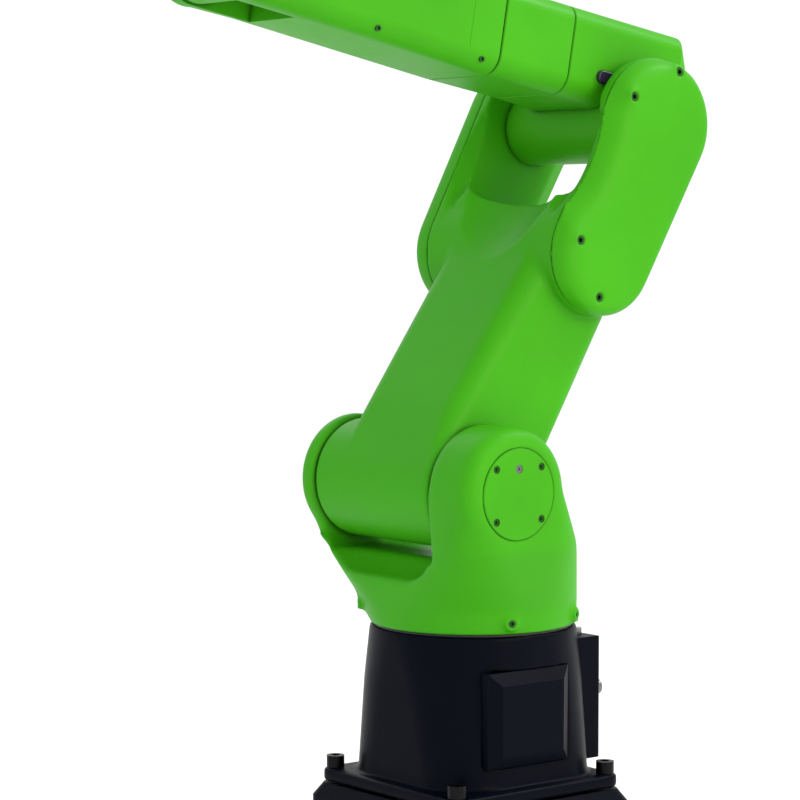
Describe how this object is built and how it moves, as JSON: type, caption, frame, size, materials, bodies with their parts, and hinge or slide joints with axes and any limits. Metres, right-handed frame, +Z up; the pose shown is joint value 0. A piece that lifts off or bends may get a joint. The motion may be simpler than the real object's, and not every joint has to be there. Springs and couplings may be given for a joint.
{
  "type": "six-axis desktop robot arm",
  "caption": "Slender six-axis robot arm on a round-shouldered base and square force-sensing foot, with a long fork-ended upper arm and round tool flange.",
  "frame": {"origin": "middle of the underside of the mounting plate, on the turret axis", "axes": "+Z up along the turret axis, +X the way the arm faces, +Y the side with the belt covers"},
  "size_m": [0.6334, 0.2676, 0.9378],
  "materials": {
    "arm_paint": "satin",
    "base_paint": "satin",
    "green_screws": "satin",
    "black_bolts": "satin",
    "bright_steel": "satin",
    "gear_units": "satin",
    "motor_black": "satin",
    "connector_black": "matte",
    "pulley_metal": "satin",
    "belt_rubber": "matte",
    "seal_rubber": "satin"
  },
  "bodies": {
    "base": {"mounting_plate": "base_paint", "sensor_housing": "base_paint", "load_cell": "bright_steel", "base_casting": "base_paint", "base_side_panel": "base_paint", "connector_box": "base_paint", "power_connector": "connector_black", "signal_connectors": "connector_black", "air_ports": "bright_steel", "ground_bolt": "bright_steel", "j1_motor": "motor_black", "j1_reducer": "gear_units", "j1_seal": "seal_rubber", "foot_bolts": "black_bolts", "side_panel_screws": "black_bolts"},
    "turret": {"turret_casting": "arm_paint", "j1_output": "bright_steel", "j2_motor": "motor_black", "j2_reducer": "gear_units", "j2_end_cover": "arm_paint", "shoulder_cover_screws": "green_screws", "j2_grease_plug": "bright_steel", "j2_pivot_bearing": "bright_steel", "far_pivot_cap": "arm_paint", "turret_lug_screws": "green_screws"},
    "upper_arm": {"upper_arm_casting": "arm_paint", "j2_output": "bright_steel", "j3_motor": "motor_black", "j3_reducer": "gear_units", "j3_belt": "belt_rubber", "elbow_bearing": "bright_steel", "elbow_belt_cover": "arm_paint", "elbow_far_cover": "arm_paint", "elbow_cover_screws": "green_screws"},
    "j3_drive_pulley": {"j3_motor_pulley": "pulley_metal"},
    "j3_driven_pulley": {"j3_reducer_pulley": "pulley_metal"},
    "elbow": {"elbow_casing": "arm_paint", "j3_output": "bright_steel", "j4_motor": "motor_black", "j4_reducer": "gear_units", "elbow_rear_cover": "arm_paint", "rear_cover_screws": "green_screws", "elbow_plug": "seal_rubber"},
    "forearm": {"forearm_root": "arm_paint", "j4_output": "bright_steel", "forearm_casting": "arm_paint", "near_side_cover": "arm_paint", "far_side_cover": "arm_paint", "side_cover_screws": "green_screws", "j5_motor": "motor_black", "j5_belt": "belt_rubber", "j5_reducer": "gear_units", "wrist_bearing": "bright_steel"},
    "j5_drive_pulley": {"j5_motor_pulley": "pulley_metal"},
    "j5_driven_pulley": {"j5_wrist_pulley": "pulley_metal"},
    "wrist": {"wrist_housing": "arm_paint", "j5_output": "bright_steel", "j6_motor": "motor_black", "j6_reducer": "gear_units"},
    "flange": {"tool_flange": "bright_steel"}
  },
  "joints": [
    {"name": "j1_turret", "type": "hinge", "parent": "base", "child": "turret", "pos_m": [0, 0, 0.256], "axis": [0, 0, 1], "range_deg": [-170, 170]},
    {"name": "j2_upper_arm", "type": "hinge", "parent": "turret", "child": "upper_arm", "pos_m": [0.055, 0, 0.397], "axis": [0, 1, 0], "range_deg": [-34, 80]},
    {"name": "j3_elbow", "type": "hinge", "parent": "upper_arm", "child": "elbow", "pos_m": [-0.15874, 0, 0.75272], "axis": [0, -1, 0], "range_deg": [-38, 145]},
    {"name": "j3_drive_pulley_spin", "type": "hinge", "parent": "upper_arm", "child": "j3_drive_pulley", "pos_m": [-0.08594, 0.096, 0.6238], "axis": [0, -1, 0], "range_deg": [-3041, 11601]},
    {"name": "j3_driven_pulley_spin", "type": "hinge", "parent": "upper_arm", "child": "j3_driven_pulley", "pos_m": [-0.15874, 0.096, 0.75272], "axis": [0, -1, 0], "range_deg": [-1901, 7251]},
    {"name": "j4_forearm", "type": "hinge", "parent": "elbow", "child": "forearm", "pos_m": [-0.07508, 0, 0.82535], "axis": [0.9848, 0, 0.1736], "range_deg": [-190, 190]},
    {"name": "j5_wrist", "type": "hinge", "parent": "forearm", "child": "wrist", "pos_m": [0.30407, 0, 0.89221], "axis": [0, -1, 0], "range_deg": [-120, 120]},
    {"name": "j5_drive_pulley_spin", "type": "hinge", "parent": "forearm", "child": "j5_drive_pulley", "pos_m": [0.11696, 0.053, 0.85922], "axis": [0, -1, 0], "range_deg": [-9501, 9501]},
    {"name": "j5_driven_pulley_spin", "type": "hinge", "parent": "forearm", "child": "j5_driven_pulley", "pos_m": [0.30407, 0.053, 0.89221], "axis": [0, -1, 0], "range_deg": [-6001, 6001]},
    {"name": "j6_flange", "type": "hinge", "parent": "wrist", "child": "flange", "pos_m": [0.37104, 0, 0.90402], "axis": [0.9848, 0, 0.1736], "range_deg": [-360, 360]}
  ],
  "couplings": [
    {"joint": "j3_driven_pulley_spin", "follows": "j3_elbow", "ratio": 50},
    {"joint": "j3_drive_pulley_spin", "follows": "j3_elbow", "ratio": 80},
    {"joint": "j5_driven_pulley_spin", "follows": "j5_wrist", "ratio": 50},
    {"joint": "j5_drive_pulley_spin", "follows": "j5_wrist", "ratio": 79.167}
  ]
}
